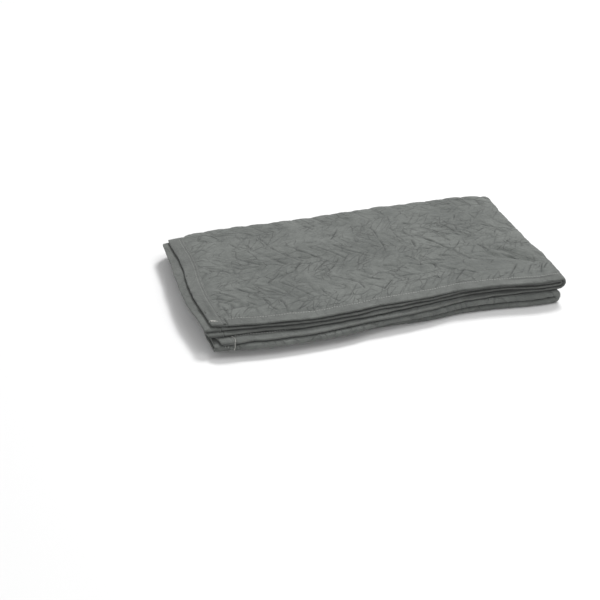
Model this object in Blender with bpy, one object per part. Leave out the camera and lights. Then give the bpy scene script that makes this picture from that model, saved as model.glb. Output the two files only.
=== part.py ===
"""Insulated quilted blanket, folded in half three times and lying flat.

The cloth is folded lengthwise, then across, then lengthwise again, so eight layers lie on each other.
The four bound corners come together at the front left. All sizes are in metres.
Flat cloth: u is measured from one end, v from one side, and w is the height over its middle plane.
"""

import bmesh
import bpy
import numpy as np

for old in list(bpy.data.objects):
    bpy.data.objects.remove(old, do_unlink=True)

# Flat cloth
CLOTH_U = 1.460
CLOTH_V = 1.410
LAYER_PITCH = 0.00675
FIELD_HALF = 0.0024
EDGE_HALF = 0.0015

# Binding tape, folded over the edge of the cloth
END_TAPE = 0.027
SIDE_TAPE = 0.021
TAPE_GAP = 0.0004
TAPE_CLEAR = 0.0016
TAPE_WALL = 0.0010
TAPE_NOSE = 0.0012
TAPE_HALF = EDGE_HALF + TAPE_GAP + TAPE_WALL
TAPE_ROUND = 0.0009
TAPE_FACE = 0.0020
BUTT_GAP = 0.0004

# Quilting: zigzag stitch lines that run along the cloth, with soft rows between them
QUILT_ROWS = 15
ZIGZAG_START = 0.065
ZIGZAG_PERIOD = 0.117
ZIGZAG_DEPTH = 0.048
PUFF = 0.0020
VALLEY = 0.0100

# Folds. Each is a half turn round a middle line with this radius
PAIR_RADIUS = LAYER_PITCH / 2
CROSS_RADIUS = LAYER_PITCH
STACK_RADIUS = LAYER_PITCH * 2
PAIR_REACH = CLOTH_V / 2 - np.pi * PAIR_RADIUS / 2
CROSS_REACH = CLOTH_U / 2 - np.pi * CROSS_RADIUS / 2
STACK_REACH = CLOTH_V / 4 - np.pi * STACK_RADIUS / 2
REST_LEVEL = STACK_RADIUS + CROSS_RADIUS + PAIR_RADIUS + TAPE_HALF
CROSS_END = CROSS_REACH + np.pi * CROSS_RADIUS
STACK_END = STACK_REACH + np.pi * STACK_RADIUS

# Mesh steps. Each quilted row on the outside has four columns of faces
PAIR_STEPS = 6
CROSS_STEPS = 8
STACK_STEPS = 8
U_SPANS = 12
V_SPANS = 6
ROW_COLUMNS = 4
V_CUTS = 3
SOFT_STEP = 0.007
LINE_SLACK = 0.0001
LONG_EDGE = 0.020

# The open cloth starts past the tape and a soft step
FIELD_U = END_TAPE + TAPE_CLEAR + SOFT_STEP
FIELD_V = SIDE_TAPE + TAPE_CLEAR + SOFT_STEP
ROW_PITCH = (CROSS_REACH - FIELD_U) / QUILT_ROWS
LEAN_FADE = 0.060

# How far each layer's front edge lies out (+ is inwards), at these places along the front
FRONT_AT = (0.000, 0.105, 0.183, 0.264, 0.350, 0.435, 0.511, 0.608, 0.675, 0.730)
FRONT_SHIFT = {
    "layer_1": (0.002, -0.011, -0.016, -0.013, -0.002, 0.002, 0.010, 0.004, -0.002, 0.000),
    "layer_2": (-0.002, -0.011, -0.017, -0.014, -0.004, 0.003, 0.013, 0.011, 0.0035, 0.003),
    "layer_3": (-0.012, -0.015, -0.021, -0.017, -0.009, 0.000, 0.012, 0.011, 0.0025, 0.002),
    "layer_4": (-0.030, -0.035, -0.035, -0.027, -0.019, -0.010, 0.003, 0.004, 0.002, 0.001),
    "layer_5": (-0.032, -0.042, -0.042, -0.036, -0.020, -0.013, -0.002, -0.002, -0.007, -0.004),
    "layer_6": (-0.032, -0.042, -0.042, -0.036, -0.020, -0.013, -0.002, -0.002, -0.007, -0.004),
    "layer_7": (-0.010, -0.013, -0.013, -0.013, -0.008, -0.008, 0.000, -0.002, -0.007, -0.006),
    "layer_8": (-0.010, -0.013, -0.013, -0.013, -0.008, -0.008, 0.000, -0.002, -0.007, -0.006),
}
FRONT_FADE = 0.300

# How far each layer's left end lies out (- is outwards), at these places from front to back
LEFT_AT = (0.000, 0.030, 0.100, 0.150, 0.230, 0.310)
LEFT_SHIFT = {
    "layer_1": (-0.001, -0.007, -0.015, -0.016, -0.012, -0.019),
    "layer_2": (-0.016, -0.021, -0.031, -0.034, -0.033, -0.033),
    "layer_3": (-0.012, -0.016, -0.022, -0.025, -0.026, -0.026),
    "layer_4": (0.009, 0.002, -0.010, -0.016, -0.019, -0.019),
    "layer_5": (-0.004, -0.006, -0.008, -0.010, -0.013, -0.014),
    "layer_6": (-0.006, -0.008, -0.010, -0.012, -0.014, -0.015),
    "layer_7": (0.000, -0.003, -0.006, -0.008, -0.009, -0.010),
    "layer_8": (0.003, 0.000, -0.004, -0.006, -0.007, -0.008),
}
LEFT_FADE = 0.600

# The right-hand fold leans in towards the back, and its lower half lies further in
RIGHT_AT = (0.000, 0.080, 0.140, 0.200, 0.250, 0.350)
RIGHT_SHIFT = (0.000, -0.002, -0.011, -0.015, -0.019, -0.020)
LOWER_RIGHT_SHIFT = -0.009

# The back fold is not straight
BACK_AT = (0.000, 0.030, 0.080, 0.190, 0.306, 0.447, 0.538, 0.675, 0.730)
BACK_SHIFT = (-0.009, -0.006, -0.002, 0.000, 0.004, 0.010, 0.014, 0.013, 0.006)

# Soft dents pressed into the stack: middle, half sizes, turn in degrees and share of the height
DENTS = (
    {"x": 0.665, "y": 0.110, "long": 0.060, "wide": 0.018, "turn": -32, "share": 0.055},
    {"x": 0.075, "y": 0.205, "long": 0.050, "wide": 0.030, "turn": 70, "share": 0.020},
    {"x": 0.430, "y": 0.235, "long": 0.070, "wide": 0.025, "turn": 20, "share": 0.022},
)

# Height of the stack, as a share of eight full layers, along the front and along the back
HEIGHT_AT = (-0.030, 0.040, 0.150, 0.350, 0.550, 0.730)
FRONT_HEIGHT = (1.034, 1.049, 1.060, 1.060, 1.071, 1.097)
BACK_HEIGHT = (0.912, 0.986, 1.044, 1.071, 1.081, 1.071)


def eased(t):
    """A soft step from 0 to 1."""
    t = np.clip(t, 0.0, 1.0)
    return t * t * (3 - 2 * t)


def read_off(at, places, values):
    """The value of a table at some places, with a smooth curve between its rows."""
    places = np.array(places)
    values = np.array(values)
    at = np.clip(at, places[0], places[-1])
    slopes = np.gradient(values, places)
    row = np.clip(np.searchsorted(places, at, side="right") - 1, 0, len(places) - 2)
    span = places[row + 1] - places[row]
    t = (at - places[row]) / span
    start = (2 * t**3 - 3 * t**2 + 1) * values[row] + (t**3 - 2 * t**2 + t) * span * slopes[row]
    end = (3 * t**2 - 2 * t**3) * values[row + 1] + (t**3 - t**2) * span * slopes[row + 1]
    return start + end


def half_turn(along, reach, radius, over):
    """A strip that runs forward for reach, turns down through half a circle and comes back below."""
    angle = np.clip((along - reach) / radius, 0.0, np.pi)
    back = np.maximum(along - reach - np.pi * radius, 0.0)
    forward = np.minimum(along, reach) - back + (radius + over) * np.sin(angle)
    height = (radius + over) * np.cos(angle)
    return forward, height


def turned(along, reach, radius):
    """0 before a half turn, 1 after it."""
    return eased((along - reach) / (np.pi * radius))


def by_layer(u, v, along, table, places, at):
    """A table's value for the layer that each point lies in, blended where a fold joins two layers."""
    across = turned(u, CROSS_REACH, CROSS_RADIUS)
    paired = turned(v, PAIR_REACH, PAIR_RADIUS)
    under = turned(along, STACK_REACH, STACK_RADIUS)
    total = 0.0
    for layer, over_share, pair_share, turn_share in (
        ("layer_1", 1 - under, 1 - paired, 1 - across),
        ("layer_2", 1 - under, paired, 1 - across),
        ("layer_3", 1 - under, paired, across),
        ("layer_4", 1 - under, 1 - paired, across),
        ("layer_5", under, 1 - paired, across),
        ("layer_6", under, paired, across),
        ("layer_7", under, paired, 1 - across),
        ("layer_8", under, 1 - paired, 1 - across),
    ):
        total = total + over_share * pair_share * turn_share * read_off(at, places, table[layer])
    return total


def pressed_in(x, y):
    """The share of the height that the soft dents take away."""
    total = 0.0
    for dent in DENTS:
        turn = np.radians(dent["turn"])
        off_x, off_y = x - dent["x"], y - dent["y"]
        along = (off_x * np.cos(turn) + off_y * np.sin(turn)) / dent["long"]
        across = (off_y * np.cos(turn) - off_x * np.sin(turn)) / dent["wide"]
        total = total + dent["share"] * np.exp(-(along**2) - across**2)
    return total


def fold(u, v, w):
    """Where points of the flat cloth lie once it is folded."""
    along, pair_over = half_turn(v, PAIR_REACH, PAIR_RADIUS, w)
    x, stack_over = half_turn(u, CROSS_REACH, CROSS_RADIUS, pair_over)
    y, z = half_turn(along, STACK_REACH, STACK_RADIUS, stack_over)
    front = by_layer(u, v, along, FRONT_SHIFT, FRONT_AT, x) * (1 - eased(y / FRONT_FADE))
    left = by_layer(u, v, along, LEFT_SHIFT, LEFT_AT, y) * np.clip(1 - x / LEFT_FADE, 0.0, 1.0) ** 2
    to_right = np.clip(x / CROSS_REACH, 0.0, 1.0) ** 2
    lower = LOWER_RIGHT_SHIFT * turned(along, STACK_REACH, STACK_RADIUS) * to_right
    x, y = x + left + lower, y + front
    right = read_off(y, RIGHT_AT, RIGHT_SHIFT) * np.clip(x / CROSS_REACH, 0.0, 1.0) ** 2
    back = read_off(x, BACK_AT, BACK_SHIFT) * np.clip(y / STACK_REACH, 0.0, 1.0)
    x, y = x + right, y + back
    low = read_off(x, HEIGHT_AT, FRONT_HEIGHT)
    high = read_off(x, HEIGHT_AT, BACK_HEIGHT)
    z = (z + REST_LEVEL) * (low + (high - low) * eased(y / STACK_REACH)) * (1 - pressed_in(x, y))
    return np.stack([x, y, z], axis=-1)


def zigzag(v):
    """How far a stitch line lies to the right of its middle."""
    phase = (v - ZIGZAG_START) / ZIGZAG_PERIOD
    return ZIGZAG_DEPTH * (0.5 - 2 * np.abs(phase - np.round(phase)))


def quilt_height(u, v):
    """How far the quilting stands up: full in the rows, nothing on a stitch line."""
    row = (u - FIELD_U - zigzag(v)) / ROW_PITCH
    off_line = np.abs(row - np.round(row)) * ROW_PITCH
    return PUFF * (1 - np.exp(-((off_line / VALLEY) ** 2)))


def face_height(u, v, side):
    """How far a face of the cloth lies from its middle."""
    from_ends = np.minimum(u, CLOTH_U - u) - END_TAPE
    from_sides = np.minimum(v, CLOTH_V - v) - SIDE_TAPE
    open_cloth = eased((np.minimum(from_ends, from_sides) - TAPE_CLEAR) / SOFT_STEP)
    outside = (1 - turned(u, CROSS_REACH, CROSS_RADIUS)) * (1 - turned(v, STACK_REACH, STACK_RADIUS))
    shows = np.where(side > 0, outside, 0.0)
    field = FIELD_HALF + shows * quilt_height(u, v)
    height = EDGE_HALF + (field - EDGE_HALF) * open_cloth
    resting = (side > 0) & (u < CROSS_REACH) & (v > STACK_END) & (v < PAIR_REACH)
    flush = EDGE_HALF + (TAPE_HALF - EDGE_HALF) * open_cloth
    return np.where(resting, flush, height)


def spaced(start, end, count):
    return list(np.linspace(start, end, count + 1))


def cloth_lines_u():
    """Mesh lines across the cloth: the tape's width at both ends, even spans, and the cross fold."""
    left = [0.0, FIELD_U - SOFT_STEP] + spaced(FIELD_U, CROSS_REACH, U_SPANS)
    bend = spaced(CROSS_REACH, CROSS_END, CROSS_STEPS)[1:-1]
    return left + bend + [CLOTH_U - u for u in reversed(left)]


def cloth_lines_v():
    """Mesh lines along the cloth: the tape's width, the turns of the zigzag, and the three folds."""
    zigzag_turns = list(np.arange(ZIGZAG_START, STACK_REACH, ZIGZAG_PERIOD / 2))
    near = [0.0, FIELD_V - SOFT_STEP, FIELD_V] + zigzag_turns + [STACK_REACH]
    bend = spaced(STACK_REACH, STACK_END, STACK_STEPS)[1:-1]
    under = spaced(STACK_END, PAIR_REACH, V_SPANS)
    middle = spaced(PAIR_REACH, PAIR_REACH + np.pi * PAIR_RADIUS, PAIR_STEPS)[1:-1]
    one_half = near + bend + under
    return one_half + middle + [CLOTH_V - v for v in reversed(one_half)]


def new_object(name, bm, material, collection):
    bmesh.ops.recalc_face_normals(bm, faces=bm.faces)
    mesh = bpy.data.meshes.new(name)
    bm.to_mesh(mesh)
    bm.free()
    for face in mesh.polygons:
        face.use_smooth = True
    mesh.materials.append(material)
    made = bpy.data.objects.new(name, mesh)
    collection.objects.link(made)
    return made


def fold_points(bm, flat):
    """Move each point from its place in the flat cloth to its place in the folded one."""
    flat = np.array(flat)
    folded = fold(flat[:, 0], flat[:, 1], flat[:, 2])
    for point, place in zip(bm.verts, folded):
        point.co = place


def cut_outside(bm, axis, cuts):
    """Cut the long edges along one axis (0 across, 1 along) on the outside of the folded cloth."""
    start, reach, end = (FIELD_U, FIELD_V), (CROSS_REACH, STACK_REACH), (CROSS_END, STACK_END)
    other = 1 - axis
    chosen = []
    for edge in bm.edges:
        one, two = [point.co for point in edge.verts]
        low, high = sorted((one[axis], two[axis]))
        near, far = sorted((one[other], two[other]))
        long_enough = high - low > LONG_EDGE
        in_length = low > start[axis] - LINE_SLACK and high < reach[axis] + LINE_SLACK
        in_width = near > start[other] - SOFT_STEP - LINE_SLACK and far < end[other] + LINE_SLACK
        if min(one.z, two.z) > 0 and long_enough and in_length and in_width:
            chosen.append(edge)
    bmesh.ops.subdivide_edges(bm, edges=chosen, cuts=cuts)


def lean_on_zigzag(flat, side):
    """Slide the outside's points so that mesh lines run along the stitch lines."""
    u, v = flat[:, 0], flat[:, 1]
    quilted = (side > 0) & (v > FIELD_V - SOFT_STEP - LINE_SLACK) & (v < STACK_END + LINE_SLACK)
    room = np.clip(np.minimum(u - FIELD_U, CROSS_REACH - u) / LEAN_FADE, 0.0, 1.0)
    return np.where(quilted, zigzag(v) * room, 0.0)


def build_quilt(material, collection):
    """The quilted cloth: one closed slab, its outside cut finer where the quilting shows."""
    us, vs = cloth_lines_u(), cloth_lines_v()
    bm = bmesh.new()
    rows = {}
    for side in (1, -1):
        rows[side] = [[bm.verts.new((u, v, side)) for v in vs] for u in us]
    for i in range(len(us) - 1):
        for j in range(len(vs) - 1):
            for side in (1, -1):
                grid = rows[side]
                corners = [grid[i][j], grid[i + 1][j], grid[i + 1][j + 1], grid[i][j + 1]]
                bm.faces.new(corners if side > 0 else corners[::-1])
    top, bottom = rows[1], rows[-1]
    for i in range(len(us) - 1):
        for j in (0, len(vs) - 1):
            bm.faces.new([top[i][j], top[i + 1][j], bottom[i + 1][j], bottom[i][j]])
    for j in range(len(vs) - 1):
        for i in (0, len(us) - 1):
            bm.faces.new([top[i][j], top[i][j + 1], bottom[i][j + 1], bottom[i][j]])
    cut_outside(bm, 0, QUILT_ROWS * ROW_COLUMNS // U_SPANS - 1)
    cut_outside(bm, 1, V_CUTS)

    flat = np.array([point.co for point in bm.verts], float)
    side = np.sign(flat[:, 2])
    flat[:, 0] += lean_on_zigzag(flat, side)
    flat[:, 2] = side * face_height(flat[:, 0], flat[:, 1], side)
    fold_points(bm, flat)
    return new_object("quilted_panel", bm, material, collection)


def tape_profile(width):
    """The tape's section: (in from the cloth's edge, height), outer line then inner line."""
    nose = -(TAPE_GAP + TAPE_NOSE)
    inner_half = EDGE_HALF + TAPE_GAP
    upper = [
        (width, TAPE_HALF),
        (TAPE_ROUND, TAPE_HALF),
        (nose + TAPE_ROUND / 2, TAPE_HALF - TAPE_ROUND / 2),
        (nose, TAPE_ROUND),
    ]
    outer = upper + [(inwards, -height) for inwards, height in reversed(upper)]
    inner = [(width, inner_half), (-TAPE_GAP, inner_half), (-TAPE_GAP, -inner_half), (width, -inner_half)]
    return outer, inner


def skin(bm, rings):
    for one, two in zip(rings, rings[1:]):
        for k in range(len(one) - 1):
            bm.faces.new([one[k], two[k], two[k + 1], one[k + 1]])


def build_side_tape(name, far, material, collection):
    """Tape along a long side, butted against the end tapes. Its section is open towards the cloth."""
    start, end = END_TAPE + BUTT_GAP, CLOTH_U - END_TAPE - BUTT_GAP
    stops = [start] + [u for u in cloth_lines_u() if start + TAPE_FACE < u < end - TAPE_FACE] + [end]
    outer, inner = tape_profile(SIDE_TAPE)
    bm = bmesh.new()
    flat, rings = [], {"outer": [], "inner": []}
    for u in stops:
        for key, line in (("outer", outer), ("inner", inner)):
            ring = []
            for inwards, height in line:
                flat.append((u, CLOTH_V - inwards if far else inwards, height))
                ring.append(bm.verts.new((0, 0, 0)))
            rings[key].append(ring)
    skin(bm, rings["outer"])
    skin(bm, rings["inner"])
    for a, b, c, d in zip(rings["outer"], rings["outer"][1:], rings["inner"], rings["inner"][1:]):
        bm.faces.new([a[0], b[0], d[0], c[0]])
        bm.faces.new([a[-1], b[-1], d[-1], c[-1]])
    for o, i in ((rings["outer"][0], rings["inner"][0]), (rings["outer"][-1], rings["inner"][-1])):
        bm.faces.new([o[0], o[1], i[1], i[0]])
        bm.faces.new([o[1], o[2], o[3], i[1]])
        bm.faces.new([o[3], o[4], i[2], i[1]])
        bm.faces.new([o[4], o[5], o[6], i[2]])
        bm.faces.new([o[6], o[7], i[3], i[2]])
    fold_points(bm, flat)
    return new_object(name, bm, material, collection)


def build_end_tape(name, far, material, collection):
    """Tape along an end, from edge to edge of the cloth, closed at both its ends and open inwards."""
    nose = TAPE_GAP + TAPE_NOSE
    inside = [v for v in cloth_lines_v() if TAPE_FACE < v < CLOTH_V - TAPE_FACE]
    stops = {
        "outer": [-nose, TAPE_FACE] + inside + [CLOTH_V - TAPE_FACE, CLOTH_V + nose],
        "inner": [-TAPE_GAP, TAPE_FACE] + inside + [CLOTH_V - TAPE_FACE, CLOTH_V + TAPE_GAP],
    }
    outer, inner = tape_profile(END_TAPE)
    bm = bmesh.new()
    flat, rings = [], {"outer": [], "inner": []}
    for key, line in (("outer", outer), ("inner", inner)):
        last = len(stops[key]) - 1
        for number, v in enumerate(stops[key]):
            ring = []
            for inwards, height in line:
                drawn_in = TAPE_ROUND / 2 if key == "outer" and number in (0, last) else 0.0
                level = height - np.sign(height) * drawn_in
                flat.append((CLOTH_U - inwards if far else inwards, v, level))
                ring.append(bm.verts.new((0, 0, 0)))
            rings[key].append(ring)
    skin(bm, rings["outer"])
    skin(bm, rings["inner"])
    for a, b, c, d in zip(rings["outer"], rings["outer"][1:], rings["inner"], rings["inner"][1:]):
        bm.faces.new([a[0], b[0], d[0], c[0]])
        bm.faces.new([a[-1], b[-1], d[-1], c[-1]])
    for o, i in ((rings["outer"][0], rings["inner"][0]), (rings["outer"][-1], rings["inner"][-1])):
        bm.faces.new(o)
        bm.faces.new(i)
        bm.faces.new([o[0], i[0], i[-1], o[-1]])
    fold_points(bm, flat)
    return new_object(name, bm, material, collection)


def fabric(name, colour, roughness):
    made = bpy.data.materials.new(name)
    made.use_nodes = True
    shader = made.node_tree.nodes["Principled BSDF"]
    shader.inputs["Base Color"].default_value = (*colour, 1.0)
    shader.inputs["Roughness"].default_value = roughness
    return made


QUILT_GREY = (0.200, 0.210, 0.200)
TAPE_GREY = (0.215, 0.225, 0.215)

blanket = bpy.data.collections.new("insulated_blanket")
bpy.context.scene.collection.children.link(blanket)

pieces = [
    build_quilt(fabric("quilted cloth", QUILT_GREY, 0.90), blanket),
    build_side_tape("near_side_binding", False, fabric("near side tape", TAPE_GREY, 0.85), blanket),
    build_side_tape("far_side_binding", True, fabric("far side tape", TAPE_GREY, 0.85), blanket),
    build_end_tape("first_end_binding", False, fabric("first end tape", TAPE_GREY, 0.85), blanket),
    build_end_tape("second_end_binding", True, fabric("second end tape", TAPE_GREY, 0.85), blanket),
]

# The origin is at the middle of the underside
points = np.array([point.co for piece in pieces for point in piece.data.vertices])
low, high = points.min(axis=0), points.max(axis=0)
middle = ((low[0] + high[0]) / 2, (low[1] + high[1]) / 2, low[2])
for piece in pieces:
    for point in piece.data.vertices:
        point.co = [value - offset for value, offset in zip(point.co, middle)]
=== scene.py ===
import bmesh
import bpy
import numpy as np
from mathutils import Matrix, Vector


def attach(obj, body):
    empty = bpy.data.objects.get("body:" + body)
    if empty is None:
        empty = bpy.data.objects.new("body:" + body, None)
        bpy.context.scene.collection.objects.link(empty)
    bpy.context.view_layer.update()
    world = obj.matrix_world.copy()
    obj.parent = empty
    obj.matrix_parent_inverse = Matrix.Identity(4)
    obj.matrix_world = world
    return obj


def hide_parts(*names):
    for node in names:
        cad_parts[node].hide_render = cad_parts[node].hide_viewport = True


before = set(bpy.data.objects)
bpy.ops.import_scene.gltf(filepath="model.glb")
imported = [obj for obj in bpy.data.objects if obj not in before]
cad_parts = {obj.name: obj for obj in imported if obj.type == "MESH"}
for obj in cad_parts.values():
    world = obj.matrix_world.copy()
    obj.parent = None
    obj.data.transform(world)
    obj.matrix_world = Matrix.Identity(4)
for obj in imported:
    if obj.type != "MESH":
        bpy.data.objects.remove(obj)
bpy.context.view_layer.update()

# The quilted cloth. Two covers of matt grey cloth with thin wadding between them, stitched through in zigzag
# rows that run from its front to its back, so that it puckers between them. It is one rectangle, folded
# lengthwise in half, then across in half, then lengthwise in half again, so eight layers lie on each other.

# Where the top layer's front left corner lies in the frame
CORNER = Vector((-0.34846, -0.16527, 0.0))

CLOTH_U = 1.460
CLOTH_V = 1.410
LAYER_PITCH = 0.00675
FIELD_HALF = 0.0024
EDGE_HALF = 0.0015
END_TAPE = 0.027
SIDE_TAPE = 0.021
TAPE_GAP = 0.0004
TAPE_CLEAR = 0.0010
TAPE_WALL = 0.0010
TAPE_NOSE = 0.0012
TAPE_HALF = EDGE_HALF + TAPE_GAP + TAPE_WALL
SOFT_STEP = 0.006

PAIR_RADIUS = LAYER_PITCH / 2
CROSS_RADIUS = LAYER_PITCH
STACK_RADIUS = LAYER_PITCH * 2
PAIR_REACH = CLOTH_V / 2 - np.pi * PAIR_RADIUS / 2
CROSS_REACH = CLOTH_U / 2 - np.pi * CROSS_RADIUS / 2
STACK_REACH = CLOTH_V / 4 - np.pi * STACK_RADIUS / 2
PAIR_END = PAIR_REACH + np.pi * PAIR_RADIUS
CROSS_END = CROSS_REACH + np.pi * CROSS_RADIUS
STACK_END = STACK_REACH + np.pi * STACK_RADIUS
REST_LEVEL = STACK_RADIUS + CROSS_RADIUS + PAIR_RADIUS + TAPE_HALF
FIELD_U = END_TAPE + TAPE_CLEAR + SOFT_STEP
FIELD_V = SIDE_TAPE + TAPE_CLEAR + SOFT_STEP

# How far each layer's front edge lies out (+ is inwards), at these places along the front
FRONT_AT = (0.000, 0.105, 0.183, 0.264, 0.350, 0.435, 0.511, 0.608, 0.675, 0.730)
FRONT_SHIFT = {
    "layer_1": (0.002, -0.011, -0.016, -0.013, -0.002, 0.002, 0.010, 0.004, -0.002, 0.000),
    "layer_2": (-0.002, -0.011, -0.017, -0.014, -0.004, 0.003, 0.013, 0.011, 0.0035, 0.003),
    "layer_3": (-0.012, -0.015, -0.021, -0.017, -0.009, 0.000, 0.012, 0.011, 0.0025, 0.002),
    "layer_4": (-0.030, -0.035, -0.035, -0.027, -0.019, -0.010, 0.003, 0.004, 0.002, 0.001),
    "layer_5": (-0.032, -0.042, -0.042, -0.036, -0.020, -0.013, -0.002, -0.002, -0.007, -0.004),
    "layer_6": (-0.032, -0.042, -0.042, -0.036, -0.020, -0.013, -0.002, -0.002, -0.007, -0.004),
    "layer_7": (-0.010, -0.013, -0.013, -0.013, -0.008, -0.008, 0.000, -0.002, -0.007, -0.006),
    "layer_8": (-0.010, -0.013, -0.013, -0.013, -0.008, -0.008, 0.000, -0.002, -0.007, -0.006),
}
FRONT_FADE = 0.300

# How far each layer's left end lies out (- is outwards), at these places from front to back
LEFT_AT = (0.000, 0.030, 0.100, 0.150, 0.230, 0.310)
LEFT_SHIFT = {
    "layer_1": (-0.001, -0.007, -0.015, -0.016, -0.012, -0.019),
    "layer_2": (-0.016, -0.021, -0.031, -0.034, -0.033, -0.033),
    "layer_3": (-0.012, -0.016, -0.022, -0.025, -0.026, -0.026),
    "layer_4": (0.009, 0.002, -0.010, -0.016, -0.019, -0.019),
    "layer_5": (-0.004, -0.006, -0.008, -0.010, -0.013, -0.014),
    "layer_6": (-0.006, -0.008, -0.010, -0.012, -0.014, -0.015),
    "layer_7": (0.000, -0.003, -0.006, -0.008, -0.009, -0.010),
    "layer_8": (0.003, 0.000, -0.004, -0.006, -0.007, -0.008),
}
LEFT_FADE = 0.600

# The right-hand fold leans in towards the back, and its lower half lies further in
RIGHT_AT = (0.000, 0.080, 0.140, 0.200, 0.250, 0.350)
RIGHT_SHIFT = (0.000, -0.002, -0.011, -0.015, -0.019, -0.020)
LOWER_RIGHT_SHIFT = -0.009

# The back fold is not straight
BACK_AT = (0.000, 0.030, 0.080, 0.190, 0.306, 0.447, 0.538, 0.675, 0.730)
BACK_SHIFT = (-0.009, -0.006, -0.002, 0.000, 0.004, 0.010, 0.014, 0.013, 0.006)

# Soft dents pressed into the stack: middle, half sizes, turn in degrees and share of the height
DENTS = (
    {"x": 0.665, "y": 0.110, "long": 0.060, "wide": 0.018, "turn": -32, "share": 0.055},
    {"x": 0.075, "y": 0.205, "long": 0.050, "wide": 0.030, "turn": 70, "share": 0.020},
    {"x": 0.430, "y": 0.235, "long": 0.070, "wide": 0.025, "turn": 20, "share": 0.022},
)

# Height of the stack, as a share of eight full layers, along the front and along the back
HEIGHT_AT = (-0.030, 0.040, 0.150, 0.350, 0.550, 0.730)
FRONT_HEIGHT = (1.034, 1.049, 1.060, 1.060, 1.071, 1.097)
BACK_HEIGHT = (0.912, 0.986, 1.044, 1.071, 1.081, 1.071)


def eased(t):
    """A soft step from 0 to 1."""
    t = np.clip(t, 0.0, 1.0)
    return t * t * (3 - 2 * t)


def hump(off, wide):
    """1 where off is 0, falling softly to nearly 0 at twice this half width."""
    return np.exp(-((off / wide) ** 2))


def tapered(share, steepness):
    """0 at both ends of a line, 1 along its middle."""
    return np.clip(steepness * share * (1 - share), 0.0, 1.0)


def read_off(at, places, values):
    """The value of a table at some places, with a smooth curve between its rows."""
    places = np.array(places)
    values = np.array(values)
    at = np.clip(at, places[0], places[-1])
    slopes = np.gradient(values, places)
    row = np.clip(np.searchsorted(places, at, side="right") - 1, 0, len(places) - 2)
    span = places[row + 1] - places[row]
    t = (at - places[row]) / span
    start = (2 * t**3 - 3 * t**2 + 1) * values[row] + (t**3 - 2 * t**2 + t) * span * slopes[row]
    end = (3 * t**2 - 2 * t**3) * values[row + 1] + (t**3 - t**2) * span * slopes[row + 1]
    return start + end


def half_turn(along, reach, radius, over):
    """A strip that runs forward for reach, turns down through half a circle and comes back below."""
    angle = np.clip((along - reach) / radius, 0.0, np.pi)
    back = np.maximum(along - reach - np.pi * radius, 0.0)
    forward = np.minimum(along, reach) - back + (radius + over) * np.sin(angle)
    height = (radius + over) * np.cos(angle)
    return forward, height


def turned(along, reach, radius):
    """0 before a half turn, 1 after it."""
    return eased((along - reach) / (np.pi * radius))


def by_layer(u, v, along, table, places, at):
    """A table's value for the layer that each point lies in, blended where a fold joins two layers."""
    across = turned(u, CROSS_REACH, CROSS_RADIUS)
    paired = turned(v, PAIR_REACH, PAIR_RADIUS)
    under = turned(along, STACK_REACH, STACK_RADIUS)
    total = 0.0
    for layer, over_share, pair_share, turn_share in (
        ("layer_1", 1 - under, 1 - paired, 1 - across),
        ("layer_2", 1 - under, paired, 1 - across),
        ("layer_3", 1 - under, paired, across),
        ("layer_4", 1 - under, 1 - paired, across),
        ("layer_5", under, 1 - paired, across),
        ("layer_6", under, paired, across),
        ("layer_7", under, paired, 1 - across),
        ("layer_8", under, 1 - paired, 1 - across),
    ):
        total = total + over_share * pair_share * turn_share * read_off(at, places, table[layer])
    return total


def pressed_in(x, y):
    """The share of the height that the soft dents take away."""
    total = 0.0
    for dent in DENTS:
        turn = np.radians(dent["turn"])
        off_x, off_y = x - dent["x"], y - dent["y"]
        along = (off_x * np.cos(turn) + off_y * np.sin(turn)) / dent["long"]
        across = (off_y * np.cos(turn) - off_x * np.sin(turn)) / dent["wide"]
        total = total + dent["share"] * np.exp(-(along**2) - across**2)
    return total


def fold(u, v, w):
    """Where points of the flat cloth lie once it is folded."""
    along, pair_over = half_turn(v, PAIR_REACH, PAIR_RADIUS, w)
    x, stack_over = half_turn(u, CROSS_REACH, CROSS_RADIUS, pair_over)
    y, z = half_turn(along, STACK_REACH, STACK_RADIUS, stack_over)
    front = by_layer(u, v, along, FRONT_SHIFT, FRONT_AT, x) * (1 - eased(y / FRONT_FADE))
    left = by_layer(u, v, along, LEFT_SHIFT, LEFT_AT, y) * np.clip(1 - x / LEFT_FADE, 0.0, 1.0) ** 2
    to_right = np.clip(x / CROSS_REACH, 0.0, 1.0) ** 2
    lower = LOWER_RIGHT_SHIFT * turned(along, STACK_REACH, STACK_RADIUS) * to_right
    x, y = x + left + lower, y + front
    right = read_off(y, RIGHT_AT, RIGHT_SHIFT) * np.clip(x / CROSS_REACH, 0.0, 1.0) ** 2
    back = read_off(x, BACK_AT, BACK_SHIFT) * np.clip(y / STACK_REACH, 0.0, 1.0)
    x, y = x + right, y + back
    low = read_off(x, HEIGHT_AT, FRONT_HEIGHT)
    high = read_off(x, HEIGHT_AT, BACK_HEIGHT)
    z = (z + REST_LEVEL) * (low + (high - low) * eased(y / STACK_REACH)) * (1 - pressed_in(x, y))
    return np.stack([x, y, z], axis=-1)


def in_frame(points):
    """Points measured from the top layer's front left corner, in the frame and none below the floor."""
    placed = points + np.array(CORNER)
    placed[..., 2] = np.maximum(placed[..., 2], 0.0)
    return placed


# The stitched zigzag: its rows, first right-hand turn, period and depth, and how the cloth rises between rows
QUILT_ROWS = 15
ROW_PITCH = 0.0456
ZIGZAG_START = 0.065
ZIGZAG_PERIOD = 0.117
ZIGZAG_DEPTH = 0.048
PUFF = 0.0012
VALLEY = 0.0110
STITCH_DIP = 0.0006
STITCH_WIDTH = 0.0018
STITCH_WANDER = 0.0035

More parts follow.
